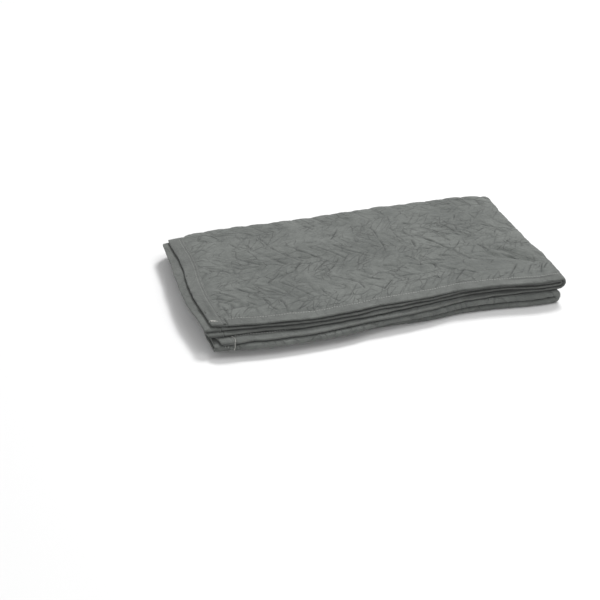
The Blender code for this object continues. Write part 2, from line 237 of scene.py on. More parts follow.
# The main creases of the top face: start x and y, end x and y and a sideways bow, all in millimetres, and a
# depth in tenths of one
MILLIMETRES = 1000
CREASE_ROWS = (
    (92, 226, 141, 182, -3, 14), (27, 203, 73, 165, 2, 13), (62, 203, 94, 178, 1, 12),
    (94, 178, 138, 178, -2, 10), (156, 289, 172, 245, 2, 11), (172, 246, 221, 177, -4, 16),
    (219, 226, 263, 178, -1, 14), (264, 223, 316, 164, 2, 16), (295, 233, 367, 165, -5, 15),
    (221, 169, 198, 141, -3, 15), (199, 142, 166, 135, 2, 12), (168, 146, 134, 112, 2, 13),
    (298, 168, 258, 123, 3, 14), (259, 123, 246, 120, 1, 13), (162, 198, 231, 192, -5, 12),
    (170, 191, 193, 172, 0, 10), (25, 106, 68, 67, 3, 15), (34, 67, 74, 71, 2, 12),
    (64, 113, 98, 85, -1, 14), (98, 85, 114, 90, -1, 10), (104, 118, 158, 67, 2, 13),
    (154, 113, 211, 47, 4, 15), (211, 47, 164, 12, 5, 13), (113, 70, 133, 14, -5, 13),
    (142, 56, 146, 6, 3, 14), (28, 56, 33, 14, 2, 12), (96, 44, 78, 62, 1, 11),
    (232, 81, 256, 19, -6, 12), (265, 111, 311, 79, 1, 12), (311, 79, 318, 52, 1, 12),
    (306, 71, 276, 32, 1, 13), (319, 106, 361, 74, -2, 14), (329, 68, 356, 43, 1, 12),
    (381, 71, 353, 41, -1, 14), (415, 71, 395, 39, 2, 13), (479, 231, 541, 149, 2, 14),
    (541, 149, 566, 106, 1, 15), (571, 181, 542, 149, 2, 12), (555, 256, 574, 213, 3, 13),
    (400, 271, 404, 224, 4, 11), (541, 76, 504, 39, -1, 14), (531, 71, 562, 51, 2, 11),
    (651, 68, 613, 26, 1, 15), (681, 61, 659, 32, 0, 13), (705, 60, 688, 28, -1, 12),
    (624, 246, 684, 206, -3, 13), (600, 161, 617, 128, 2, 11), (434, 151, 456, 124, 2, 12),
    (463, 146, 487, 118, 2, 12), (332, 281, 303, 239, 1, 12), (132, 311, 152, 292, 1, 10),
    (95, 273, 112, 243, 2, 10), (124, 266, 136, 238, 2, 10), (265, 311, 281, 288, 2, 11),
    (399, 98, 424, 118, 1, 12), (380, 127, 401, 121, -1, 13), (434, 121, 464, 109, -2, 14),
    (487, 121, 512, 112, 0, 14), (464, 113, 484, 105, 1, 14), (484, 105, 481, 91, 1, 12),
    (395, 80, 459, 75, 2, 12), (485, 77, 492, 69, 0, 14), (464, 66, 476, 53, 1, 12),
    (541, 70, 558, 60, -1, 13), (507, 84, 520, 78, 0, 13), (500, 139, 531, 127, 1, 11),
    (531, 149, 549, 144, -1, 14), (545, 137, 558, 119, -2, 16), (498, 173, 521, 163, -1, 13),
    (482, 171, 497, 161, 0, 11), (502, 203, 515, 187, -1, 16), (491, 229, 514, 225, 0, 14),
    (471, 207, 469, 175, 2, 14), (445, 240, 457, 206, -2, 13), (405, 224, 402, 172, 3, 11),
    (439, 262, 449, 249, 0, 15), (477, 275, 494, 266, 0, 13), (519, 262, 577, 257, -1, 12),
    (539, 204, 552, 184, 1, 13), (355, 170, 366, 164, 0, 14), (563, 225, 579, 198, -2, 12),
    (606, 149, 611, 128, 0, 12), (619, 203, 642, 216, 1, 11), (621, 197, 634, 194, 0, 12),
    (654, 188, 662, 203, 0, 10), (699, 40, 716, 59, 1, 13), (609, 37, 620, 43, 0, 11),
    (638, 118, 667, 94, -2, 10), (676, 150, 712, 138, -1, 11), (668, 160, 672, 153, 0, 13),
    (570, 282, 545, 288, 1, 10), (600, 283, 590, 262, 1, 10), (632, 280, 638, 262, 0, 12),
    (628, 258, 622, 245, 0, 12), (595, 232, 609, 221, 0, 12), (583, 247, 581, 222, 1, 10),
)


def crease_row(start_x, start_y, end_x, end_y, bow, depth):
    """One crease in metres, from its row of the table."""
    start = (start_x / MILLIMETRES, start_y / MILLIMETRES)
    end = (end_x / MILLIMETRES, end_y / MILLIMETRES)
    return {"start": start, "end": end, "bow": bow / MILLIMETRES, "depth": depth / (10 * MILLIMETRES)}


CREASES = [crease_row(*row) for row in CREASE_ROWS]
CREASE_DEEPER = 1.30
CREASE_WIDTH = 0.0015
CREASE_SIDE = 0.0050
CREASE_SIDE_SHARP = 1.6
CREASE_LIFT = 0.40
CREASE_BLUNT = 0.25
CREASE_TAPER = 8
CREASE_PIECES = 6
# How wide the shade painted along each crease is
CREASE_SHADE = 0.0013
RELIEF_REACH = 3

# The soft troughs and ridges of the top face. A negative depth is a ridge, wide is half the width
TROUGH_COLUMNS = ("start", "end", "bow", "depth", "wide")
TROUGH_ROWS = (
    ((0.600, 0.130), (0.714, 0.070), -0.004, 0.0062, 0.0085),
    ((0.632, 0.150), (0.728, 0.094), -0.005, -0.0036, 0.0085),
    ((0.430, 0.236), (0.465, 0.187), -0.002, -0.0013, 0.0040),
    ((0.446, 0.246), (0.476, 0.180), -0.002, 0.0014, 0.0055),
    ((0.205, 0.262), (0.330, 0.246), 0.004, 0.0012, 0.0080),
    ((0.140, 0.165), (0.300, 0.185), 0.006, 0.0011, 0.0060),
    ((0.050, 0.150), (0.180, 0.100), 0.006, -0.0011, 0.0090),
    ((0.040, 0.245), (0.120, 0.205), 0.003, 0.0013, 0.0075),
    ((0.500, 0.240), (0.610, 0.190), 0.005, -0.0011, 0.0100),
    ((0.330, 0.128), (0.470, 0.092), 0.004, 0.0012, 0.0080),
    ((0.640, 0.030), (0.712, 0.031), -0.002, 0.0014, 0.0035),
)
TROUGHS = [dict(zip(TROUGH_COLUMNS, row)) for row in TROUGH_ROWS]
TROUGH_PIECES = 8
TROUGH_TAPER = 6

# Small uneven facets between the creases, how far they stand up, how much of them shows, and how much shade
# is painted in their borders
FACETS = (
    {"long": 0.0340, "wide": 0.0240, "lift": 0.0011, "crease": 0.0009, "border": 0.080, "seed": 13},
    {"long": 0.0170, "wide": 0.0120, "lift": 0.0005, "crease": 0.0005, "border": 0.110, "seed": 31},
)
WAVES = ({"size": 0.110, "lift": 0.0008, "seed": 3}, {"size": 0.042, "lift": 0.0005, "seed": 4},
         {"size": 0.017, "lift": 0.0002, "seed": 5})
CELL_JITTER = (0.08, 0.92)
FAR_OFF = 9.0
FACET_PATCH = 1.3
FACET_SHOWN = 0.35
FACET_PAINTED_SHADE = 700
TABLE_SIDE = 61

# What changes softly from place to place: a middle value, a swing, the size of a patch and a seed
UNEVEN = {
    "pull of a row": {"middle": 0.45, "swing": 1.1, "size": 0.042, "seed": 11},
    "puff": {"middle": 0.80, "swing": 0.5, "size": 0.050, "seed": 12},
    "crease": {"middle": 0.80, "swing": 0.35, "size": 0.012, "seed": 41},
}
LEAST_PULL = 0.05
WANDER_SIZE = 0.028
WANDER_SEED = 15

# How much of the small relief the front loops and the lower right fold have
LOOP_SHARE = 0.70
TIP_SHARE = 0.35

# How the rows press into the face that rests below, how that face flattens, and how much shade is painted
# along the rows, with a weaker share on hidden faces
ROW_PRESS = 0.0011
ROW_PRESS_WIDE = 0.006
FLAT_FADE = 0.03
ROW_PAINTED_SHADE = 0.60
ROW_PAINTED_SHADE_WIDE = 0.0014
HIDDEN_PAINTED_SHADE = 0.6


def zigzag(v):
    """How far a stitch line lies to the right of its middle."""
    phase = (v - ZIGZAG_START) / ZIGZAG_PERIOD
    return ZIGZAG_DEPTH * (0.5 - 2 * np.abs(phase - np.round(phase)))


def patchy(u, v, size, seed):
    """Soft seeded unevenness from -1 to 1, with bumps about this size across."""
    table = np.random.default_rng(seed).uniform(-1.0, 1.0, (TABLE_SIDE, TABLE_SIDE))
    a, b = u / size, v / size
    i, j = np.floor(a).astype(int), np.floor(b).astype(int)
    s, t = eased(a - i), eased(b - j)
    near = table[i % TABLE_SIDE, j % TABLE_SIDE] * (1 - s) + table[(i + 1) % TABLE_SIDE, j % TABLE_SIDE] * s
    j = j + 1
    far = table[i % TABLE_SIDE, j % TABLE_SIDE] * (1 - s) + table[(i + 1) % TABLE_SIDE, j % TABLE_SIDE] * s
    return near * (1 - t) + far * t


def uneven(u, v, what):
    """A share that changes softly from place to place, from its row in the table."""
    row = UNEVEN[what]
    return row["middle"] + row["swing"] * patchy(u, v, row["size"], row["seed"])


def off_border(u, v, cell, seed):
    """How far each point is from the border of its uneven cell: 0 on the border."""
    jitter = np.random.default_rng(seed).uniform(*CELL_JITTER, (TABLE_SIDE, TABLE_SIDE, 2))
    a, b = u / cell[0], v / cell[1]
    i, j = np.floor(a).astype(int), np.floor(b).astype(int)
    nearest, second = np.full(a.shape, FAR_OFF), np.full(a.shape, FAR_OFF)
    for step_i in (-1, 0, 1):
        for step_j in (-1, 0, 1):
            at = jitter[(i + step_i) % TABLE_SIDE, (j + step_j) % TABLE_SIDE]
            far = np.hypot(i + step_i + at[..., 0] - a, j + step_j + at[..., 1] - b)
            second = np.minimum(second, np.maximum(nearest, far))
            nearest = np.minimum(nearest, far)
    return second - nearest


def off_bowed_line(x, y, row, pieces, reach):
    """The points near a bowed line, how far each is from it, and how far along it (0 to 1)."""
    start, end = np.array(row["start"]), np.array(row["end"])
    run = end - start
    normal = np.array((-run[1], run[0])) / np.hypot(*run)
    steps = np.linspace(0.0, 1.0, pieces + 1)
    bowed = 4 * row["bow"] * steps * (1 - steps)
    line = start + steps[:, None] * run + bowed[:, None] * normal
    low, high = line.min(axis=0) - reach, line.max(axis=0) + reach
    near = np.flatnonzero((x > low[0]) & (x < high[0]) & (y > low[1]) & (y < high[1]))
    spot = np.stack([x[near], y[near]], axis=-1)
    closest, share = np.full(len(near), 1.0), np.zeros(len(near))
    for k in range(pieces):
        piece = line[k + 1] - line[k]
        t = np.clip(((spot - line[k]) @ piece) / (piece @ piece), 0.0, 1.0)
        far = np.linalg.norm(spot - line[k] - t[:, None] * piece, axis=1)
        nearer = far < closest
        closest[nearer] = far[nearer]
        share[nearer] = ((k + t) / pieces)[nearer]
    return near, spot, closest, share


def creases_at(x, y):
    """The height that the listed creases take away or add, and how much shade is painted along each crease.
    """
    lift, deep = np.zeros(x.shape), np.zeros(x.shape)
    for row in TROUGHS:
        near, spot, closest, share = off_bowed_line(x, y, row, TROUGH_PIECES, RELIEF_REACH * row["wide"])
        taper = eased(tapered(share, TROUGH_TAPER))
        lift[near] -= row["depth"] * hump(closest, row["wide"]) * taper
    for crease in CREASES:
        near, spot, closest, share = off_bowed_line(x, y, crease, CREASE_PIECES, RELIEF_REACH * CREASE_SIDE)
        if not len(near):
            continue
        taper = tapered(share, CREASE_TAPER) * (1 - CREASE_BLUNT) + CREASE_BLUNT
        taper = taper * uneven(spot[:, 0], spot[:, 1], "crease")
        trough = hump(closest, CREASE_WIDTH) * taper
        beside = np.exp(-(((closest - CREASE_SIDE) / CREASE_SIDE * CREASE_SIDE_SHARP) ** 2)) * taper
        lift[near] += CREASE_DEEPER * crease["depth"] * (CREASE_LIFT * beside - trough)
        # Painted shade down each crease, darkening the colour
        deep[near] = np.maximum(deep[near], hump(closest, CREASE_SHADE) * taper)
    return lift, deep


# How far the edges wander in the cloth's plane, and pucker out of it
EDGE_WANDER = 0.0014
EDGE_PUCKER = 0.00032
EDGE_DEPTH = 0.055
LONG_STRAY = 0.034
SHORT_STRAY = 0.011
SHORT_SHARE = 0.5
PUCKER_SIZE = 0.021
SIDE_SEED, END_SEED = 51, 53
SIDE_PUCKER_SEED, END_PUCKER_SEED = 55, 56


def strayed(a, b, seed):
    """How far an edge strays at each place, in long and in short waves."""
    return patchy(a, b, LONG_STRAY, seed) + SHORT_SHARE * patchy(a, b, SHORT_STRAY, seed + 1)


def settled(u, v, w):
    """Where points of the cloth lie once it is folded, with its edges a little wavy."""
    by_side = 1 - eased(np.minimum(v, CLOTH_V - v) / EDGE_DEPTH)
    by_end = 1 - eased(np.minimum(u, CLOTH_U - u) / EDGE_DEPTH)
    which_side = np.where(v < CLOTH_V / 2, 0.0, 1.0)
    which_end = np.where(u < CLOTH_U / 2, 0.3, 1.3)
    pucker_side = by_side * patchy(u, which_side, PUCKER_SIZE, SIDE_PUCKER_SEED)
    pucker = pucker_side + by_end * patchy(which_end, v, PUCKER_SIZE, END_PUCKER_SEED)
    out_v = v + EDGE_WANDER * by_side * strayed(u, which_side, SIDE_SEED)
    out_u = u + EDGE_WANDER * by_end * strayed(which_end, v, END_SEED)
    return fold(out_u, out_v, w + EDGE_PUCKER * np.clip(pucker, -1.0, 1.0))


def late(along, reach, end):
    """0 before a fold and up to its middle, 1 at its end."""
    return eased(2 * (along - reach) / (end - reach) - 1)


def cloth_face(u, v, side):
    """How far a face of the cloth lies from its middle plane, and how much shade is painted on it, from 0 to
    1, in creases, along rows and in facets' borders.
    """
    from_ends = np.minimum(u, CLOTH_U - u) - END_TAPE
    from_sides = np.minimum(v, CLOTH_V - v) - SIDE_TAPE
    open_cloth = eased((np.minimum(from_ends, from_sides) - TAPE_CLEAR) / SOFT_STEP)
    over = side > 0
    resting = over & (u < CROSS_REACH) & (v > STACK_END) & (v < PAIR_REACH)
    before_folds = (1 - late(u, CROSS_REACH, CROSS_END)) * (1 - late(v, STACK_REACH, STACK_END))
    outside = np.where(over, before_folds, 0.0)
    loop = np.where(over, hump(v - (PAIR_REACH + PAIR_END) / 2, PAIR_END - PAIR_REACH), 0.0)
    through_fold = np.clip((u - CROSS_REACH) / (CROSS_END - CROSS_REACH), 0, 1)
    lower_right = np.where(over & (v > STACK_END), np.sin(np.pi * through_fold), 0.0)

    slanted = u - FIELD_U - zigzag(v) + STITCH_WANDER * patchy(u, v, WANDER_SIZE, WANDER_SEED)
    row = slanted / ROW_PITCH
    off_line = np.abs(row - np.round(row)) * ROW_PITCH
    strength = np.clip(uneven(u, v, "pull of a row"), LEAST_PULL, 1.0)
    puff = PUFF * (1 - hump(off_line, VALLEY)) * uneven(u, v, "puff")
    dip = STITCH_DIP * hump(off_line, STITCH_WIDTH) * strength
    facet, painted_facet_shade = np.zeros(u.shape), np.zeros(u.shape)
    for kind in FACETS:
        border = off_border(slanted, v, (kind["long"], kind["wide"]), kind["seed"])
        show = np.clip(FACET_SHOWN + patchy(u, v, FACET_PATCH * kind["long"], kind["seed"] + 1), 0.0, 1.0)
        line = hump(border, kind["border"])
        facet = facet + kind["lift"] * np.sqrt(np.clip(border, 0, 1)) - kind["crease"] * show * line
        painted_facet_shade = np.maximum(painted_facet_shade, FACET_PAINTED_SHADE * kind["crease"] * show * line)
    wave = sum(w["lift"] * patchy(u, v, w["size"], w["seed"]) for w in WAVES)
    place = fold(u, v, np.zeros(u.shape))
    hand_lift, painted_crease_shade = creases_at(place[..., 0], place[..., 1])
    top = outside * (puff - dip + facet + wave + hand_lift)
    small = LOOP_SHARE * loop * (facet + wave) + TIP_SHARE * lower_right * (facet + wave)
    field = FIELD_HALF + top + np.where(outside > 0.5, 0.0, small)
    height = EDGE_HALF + (field - EDGE_HALF) * open_cloth
    pressed = TAPE_HALF - ROW_PRESS * hump(off_line, ROW_PRESS_WIDE) * open_cloth
    edge = eased((v - STACK_END) / FLAT_FADE) * eased((PAIR_REACH - v) / FLAT_FADE)
    edge = edge * eased((CROSS_REACH - u) / FLAT_FADE)
    flush = EDGE_HALF + (TAPE_HALF - EDGE_HALF) * open_cloth
    under = flush + (np.minimum(pressed, flush) - flush) * edge
    height = np.where(resting, under, height)
    # Painted shade: a darker colour down the creases, along the stitched rows and in the facets' borders,
    # with a weaker share on the resting face and the front loops
    deep = np.maximum.reduce([
        painted_crease_shade * outside,
        ROW_PAINTED_SHADE * strength * hump(off_line, ROW_PAINTED_SHADE_WIDE) * np.maximum(outside, HIDDEN_PAINTED_SHADE * resting),
        painted_facet_shade * np.maximum(outside, HIDDEN_PAINTED_SHADE * loop),
    ])
    return height, deep * open_cloth


# Mesh lines of the cloth: close together where it shows, further apart between its layers
SPAN_PARTS = 3
U_SPANS = 12
FOLD_STEPS = {"pair": 10, "cross": 10, "stack": 20}
TOP_CUTS = 8
UNDER_CUTS = 2
LOOP_CUTS = 3
LINE_SLACK = 0.0001
SHORTEST_CUT = 0.012
SHORTEST_TOP_CUT = 0.009


def spaced(start, end, count):
    return list(np.linspace(start, end, count + 1))


def joined_spans(stops, parts):
    """Even steps within each span of a list of stops."""
    lines = [stops[0]]
    for start, end in zip(stops, stops[1:]):
        lines += spaced(start, end, parts)[1:]
    return lines


def cloth_lines_u():
    left = [0.0, FIELD_U - SOFT_STEP] + joined_spans(spaced(FIELD_U, CROSS_REACH, U_SPANS), SPAN_PARTS)
    bend = spaced(CROSS_REACH, CROSS_END, FOLD_STEPS["cross"])[1:-1]
    return left + bend + [CLOTH_U - u for u in reversed(left)]


def cloth_lines_v():
    turns = list(np.arange(ZIGZAG_START, STACK_REACH, ZIGZAG_PERIOD / 2))
    near = [0.0, FIELD_V - SOFT_STEP] + joined_spans([FIELD_V] + turns + [STACK_REACH], SPAN_PARTS)
    bend = spaced(STACK_REACH, STACK_END, FOLD_STEPS["stack"])[1:-1]
    under = spaced(STACK_END, PAIR_REACH, (len(turns) + 1) * SPAN_PARTS)
    middle = spaced(PAIR_REACH, PAIR_END, FOLD_STEPS["pair"])[1:-1]
    half = near + bend + under
    return half + middle + [CLOTH_V - v for v in reversed(half)]


def cut_edges(bm, axis, cuts, u_zone, v_zone, shortest):
    """Cut the edges that run along one axis (0 is u, 1 is v) on the outer face, within a zone."""
    zone = (u_zone, v_zone)
    other = 1 - axis
    chosen = []
    for edge in bm.edges:
        one, two = edge.verts[0].co, edge.verts[1].co
        if one.z < 0 or two.z < 0 or abs(one[axis] - two[axis]) < shortest:
            continue
        low, high = sorted((one[axis], two[axis]))
        near, far = sorted((one[other], two[other]))
        inside = low > zone[axis][0] - LINE_SLACK and high < zone[axis][1] + LINE_SLACK
        if inside and near > zone[other][0] - LINE_SLACK and far < zone[other][1] + LINE_SLACK:
            chosen.append(edge)
    bmesh.ops.subdivide_edges(bm, edges=chosen, cuts=cuts)


def flat_cloth():
    """The flat cloth's mesh, cut finely where it will show. z is 1 on the outer face, -1 on the other."""
    us, vs = cloth_lines_u(), cloth_lines_v()
    bm = bmesh.new()
    rows = {side: [[bm.verts.new((u, v, side)) for v in vs] for u in us] for side in (1, -1)}
    for side in (1, -1):
        grid = rows[side]
        for i in range(len(us) - 1):
            for j in range(len(vs) - 1):
                corners = [grid[i][j], grid[i + 1][j], grid[i + 1][j + 1], grid[i][j + 1]]
                bm.faces.new(corners if side > 0 else corners[::-1])
    top, bottom = rows[1], rows[-1]
    for i in range(len(us) - 1):
        bm.faces.new([top[i + 1][0], top[i][0], bottom[i][0], bottom[i + 1][0]])
        bm.faces.new([top[i][-1], top[i + 1][-1], bottom[i + 1][-1], bottom[i][-1]])
    for j in range(len(vs) - 1):
        bm.faces.new([top[0][j], top[0][j + 1], bottom[0][j + 1], bottom[0][j]])
        bm.faces.new([top[-1][j + 1], top[-1][j], bottom[-1][j], bottom[-1][j + 1]])
    open_u, open_v = FIELD_U - SOFT_STEP, FIELD_V - SOFT_STEP
    for axis, cuts, u_zone, v_zone, shortest in (
        (0, TOP_CUTS, (FIELD_U, CROSS_REACH), (open_v, STACK_END), SHORTEST_CUT),
        (1, TOP_CUTS, (open_u, CROSS_END), (FIELD_V, STACK_REACH), SHORTEST_TOP_CUT),
        (0, UNDER_CUTS, (FIELD_U, CROSS_REACH), (STACK_END, PAIR_REACH), SHORTEST_CUT),
        (1, UNDER_CUTS, (open_u, CROSS_END), (STACK_END, PAIR_REACH), SHORTEST_CUT),
        (0, LOOP_CUTS, (CROSS_END, CLOTH_U - FIELD_U), (PAIR_REACH, PAIR_END), SHORTEST_CUT),
        (0, UNDER_CUTS, (FIELD_U, CROSS_REACH), (PAIR_REACH + LINE_SLACK, PAIR_END), SHORTEST_CUT),
    ):
        cut_edges(bm, axis, cuts, u_zone, v_zone, shortest)
    return bm


def linked(name, data):
    """An object of this name and data, in the scene."""
    holder = bpy.data.objects.new(name, data)
    bpy.context.scene.collection.objects.link(holder)
    return holder


def piece_from(name, bm, points, material):
    """A finished piece from a mesh and its points' places, shaded smooth, riding on the frame."""
    mesh = bpy.data.meshes.new(name)
    bm.to_mesh(mesh)
    bm.free()
    mesh.vertices.foreach_set("co", np.asarray(points, np.float32).ravel())
    mesh.polygons.foreach_set("use_smooth", [True] * len(mesh.polygons))
    mesh.materials.append(material)
    mesh.update()
    piece = linked(name, mesh)
    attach(piece, "root")
    return piece


def keep_places(piece, flat, deep):
    """Keeps each point's place in the flat cloth and beside its rows, and how much shade is painted on it."""
    beside_rows = np.column_stack([flat[:, 0] - zigzag(flat[:, 1]), flat[:, 1], flat[:, 2]])
    for name, kind, part, values in (
        ("cloth_place", "FLOAT_VECTOR", "vector", flat),
        ("quilt_place", "FLOAT_VECTOR", "vector", beside_rows),
        ("painted_shade_amount", "FLOAT", "value", deep),
    ):
        kept = piece.data.attributes.new(name, kind, "POINT")
        kept.data.foreach_set(part, np.asarray(values, np.float32).ravel())


def add_node(tree, kind, values=None, feeds=None, **settings):
    """A node with its settings, its sockets' own values, and the outputs that feed its sockets."""
    node = tree.nodes.new(kind)
    for setting, value in settings.items():
        setattr(node, setting, value)
    for socket, value in (values or {}).items():
        node.inputs[socket].default_value = value
    for socket, output in (feeds or {}).items():
        tree.links.new(output, node.inputs[socket])
    return node


def woven_group():
    """Uneven dyeing, fibres, a plain weave and fine creases, read from places in the flat cloth; the fine
    creases also give painted shade.
    """
    group = bpy.data.node_groups.new("woven cloth", "ShaderNodeTree")
    for name, way, kind in (
        ("Place", "INPUT", "NodeSocketVector"),
        ("Threads", "INPUT", "NodeSocketFloat"),
        ("Crinkle", "INPUT", "NodeSocketFloat"),
        ("Quilt Place", "INPUT", "NodeSocketVector"),
        ("Creasing", "INPUT", "NodeSocketFloat"),
        ("Tone", "OUTPUT", "NodeSocketFloat"),
        ("Height", "OUTPUT", "NodeSocketFloat"),
        ("Crease Shade", "OUTPUT", "NodeSocketFloat"),
    ):
        group.interface.new_socket(name=name, in_out=way, socket_type=kind)
    start = group.nodes.new("NodeGroupInput").outputs
    end = group.nodes.new("NodeGroupOutput").inputs

    def noise(scale, detail, roughness):
        values = {"Scale": scale, "Detail": detail, "Roughness": roughness}
        return add_node(group, "ShaderNodeTexNoise", values, {"Vector": start["Place"]}).outputs["Fac"]

    def maths(operation, one, two):
        node = add_node(group, "ShaderNodeMath", operation=operation)
        for socket, value in zip(node.inputs, (one, two)):
            if isinstance(value, float):
                socket.default_value = value
            else:
                group.links.new(value, socket)
        return node.outputs["Value"]

    def threads(direction):
        values = {"Distortion": 1.2, "Detail": 1.0, "Detail Scale": 0.6}
        feeds = {"Vector": start["Place"], "Scale": start["Threads"]}
        return add_node(group, "ShaderNodeTexWave", values, feeds, bands_direction=direction).outputs["Fac"]

    def wandering(amount):
        """The places along the quilted rows, moved about unevenly."""
        uneven_places = add_node(
            group, "ShaderNodeTexNoise", {"Scale": 60.0, "Detail": 2.0}, {"Vector": start["Quilt Place"]})
        moved = add_node(
            group, "ShaderNodeVectorMath", {1: (amount, amount, 0.0)},
            {0: uneven_places.outputs["Color"], 2: start["Quilt Place"]}, operation="MULTIPLY_ADD")
        return moved.outputs["Vector"]

    def fine_creases(place, across, along, wide, patch):
        """Lines on the borders of uneven cells of this size, which show in patches only."""
        sized = add_node(
            group, "ShaderNodeVectorMath", {1: (across, along, 1.0)}, {0: place}, operation="DIVIDE")
        cells = add_node(
            group, "ShaderNodeTexVoronoi", {"Scale": 1.0}, {"Vector": sized.outputs["Vector"]},
            voronoi_dimensions="2D", feature="DISTANCE_TO_EDGE")
        line = add_node(
            group, "ShaderNodeMapRange", {"From Max": wide, "To Min": 1.0, "To Max": 0.0},
            {"Value": cells.outputs["Distance"]}, interpolation_type="SMOOTHSTEP")
        shown = add_node(
            group, "ShaderNodeMapRange", {"From Min": 0.46, "From Max": 0.57},
            {"Value": noise(patch, 2.0, 0.5)})
        return maths("MULTIPLY", line.outputs["Result"], shown.outputs["Result"])

    dye = noise(9.0, 3.0, 0.55)
    blotch = noise(60.0, 4.0, 0.60)
    fibre = noise(430.0, 3.0, 0.70)
    weave = maths("MULTIPLY", threads("X"), threads("Y"))
    tone = maths("MULTIPLY", dye, 0.30)
    for pattern, share in ((blotch, 0.25), (fibre, 0.35), (weave, 0.10)):
        tone = maths("ADD", tone, maths("MULTIPLY", pattern, share))
    group.links.new(tone, end["Tone"])
    moved = wandering(0.007)
    long_creases = fine_creases(moved, 0.021, 0.050, 0.055, 17.0)
    short_creases = fine_creases(moved, 0.034, 0.020, 0.055, 27.0)
    creased = maths("MULTIPLY", maths("MAXIMUM", long_creases, short_creases), start["Creasing"])
    # Painted shade: the fine crease lines also darken the cloth's colour
    group.links.new(maths("MULTIPLY", creased, 0.42), end["Crease Shade"])
    crinkle = maths("MULTIPLY", noise(130.0, 3.0, 0.55), start["Crinkle"])
    fine = maths("ADD", maths("MULTIPLY", weave, 0.10), maths("MULTIPLY", fibre, 0.06))
    raised = maths("ADD", crinkle, fine)
    group.links.new(maths("SUBTRACT", raised, maths("MULTIPLY", creased, 0.95)), end["Height"])
    return group


WOVEN = woven_group()
# How much of the painted shade goes into the colour, and how far the roughness swings
CREASE_PAINTED_SHADE = 0.90
ROUGH_SWING = 0.06


def two_tones(tree, value, dark_at, dark, light_at, light):
    """A colour from dark to light, as the value rises from one level to the other."""
    ramp = add_node(tree, "ShaderNodeValToRGB", None, {"Fac": value})
    for stop, level, colour in zip(ramp.color_ramp.elements, (dark_at, light_at), (dark, light)):
        stop.position = level
        stop.color = (*colour, 1.0)
    return ramp.outputs["Color"]


def cloth_material(name, dark, light, painted_shade_colour, threads, crinkle, creasing, rough, sheen):
    """A matt cloth: its two tones, painted shade that darkens it in creases, along rows and under edges,
    weave and fine crinkles.
    """
    material = bpy.data.materials.new(name)
    material.use_nodes = True
    tree = material.node_tree
    place = add_node(tree, "ShaderNodeAttribute", attribute_name="cloth_place")
    quilt = add_node(tree, "ShaderNodeAttribute", attribute_name="quilt_place")
    crease = add_node(tree, "ShaderNodeAttribute", attribute_name="painted_shade_amount")
    values = {"Threads": threads, "Crinkle": crinkle, "Creasing": creasing}
    feeds = {"Place": place.outputs["Vector"], "Quilt Place": quilt.outputs["Vector"]}
    woven = add_node(tree, "ShaderNodeGroup", values, feeds, node_tree=WOVEN).outputs
    tones = two_tones(tree, woven["Tone"], 0.40, dark, 0.60, light)
    # Painted shade: the colour darkens towards a shade colour in creases, along rows, in grooves and under
    # edges
    feeds = {0: crease.outputs["Fac"]}
    shade = add_node(tree, "ShaderNodeMath", {1: CREASE_PAINTED_SHADE}, feeds, operation="MULTIPLY")
    feeds = {0: shade.outputs["Value"], 1: woven["Crease Shade"]}
    darkest_painted_shade = add_node(tree, "ShaderNodeMath", None, feeds, operation="MAXIMUM")
    feeds = {"Factor": darkest_painted_shade.outputs["Value"], "A": tones}
    mixed = add_node(tree, "ShaderNodeMix", {"B": (*painted_shade_colour, 1.0)}, feeds, data_type="RGBA")
    values = {"To Min": rough - ROUGH_SWING, "To Max": rough + ROUGH_SWING}
    roughness = add_node(tree, "ShaderNodeMapRange", values, {"Value": woven["Tone"]})
    values = {"Strength": 0.9, "Distance": 0.0012}
    bump = add_node(tree, "ShaderNodeBump", values, {"Height": woven["Height"]})
    shader = tree.nodes["Principled BSDF"]
    tree.links.new(mixed.outputs["Result"], shader.inputs["Base Color"])
    tree.links.new(roughness.outputs["Result"], shader.inputs["Roughness"])
    tree.links.new(bump.outputs["Normal"], shader.inputs["Normal"])
    shader.inputs["Sheen Weight"].default_value = sheen
    shader.inputs["Sheen Roughness"].default_value = 0.55
    shader.inputs["Specular IOR Level"].default_value = 0.22
    return material


quilt_cloth = cloth_material(
    "quilt cloth",
    dark=(0.088, 0.094, 0.089),
    light=(0.146, 0.154, 0.145),
    # The colour that the painted shade darkens the cloth towards
    painted_shade_colour=(0.034, 0.036, 0.035),
    threads=380.0,
    crinkle=0.55,
    creasing=1.0,
    rough=0.88,
    sheen=0.10,
)
bm = flat_cloth()
flat = np.array([point.co for point in bm.verts], float)
side = np.sign(flat[:, 2])
# deep is the shade painted into the cloth's colour, kept on its points
height, deep = cloth_face(flat[:, 0], flat[:, 1], side)
folded = settled(flat[:, 0], flat[:, 1], side * height)
quilted_cloth = piece_from("quilted_cloth", bm, in_frame(folded), quilt_cloth)
keep_places(quilted_cloth, flat, deep)

# The visible top face gets most of the map that the cloth's colours are baked through
MAP_TOP = (0.80, 0.62)
MAP_OUTER = 0.84
MAP_INNER = 0.985
MAP_MARGIN = 0.004
RIM_OUTER = 0.998
RIM_INNER = 0.990


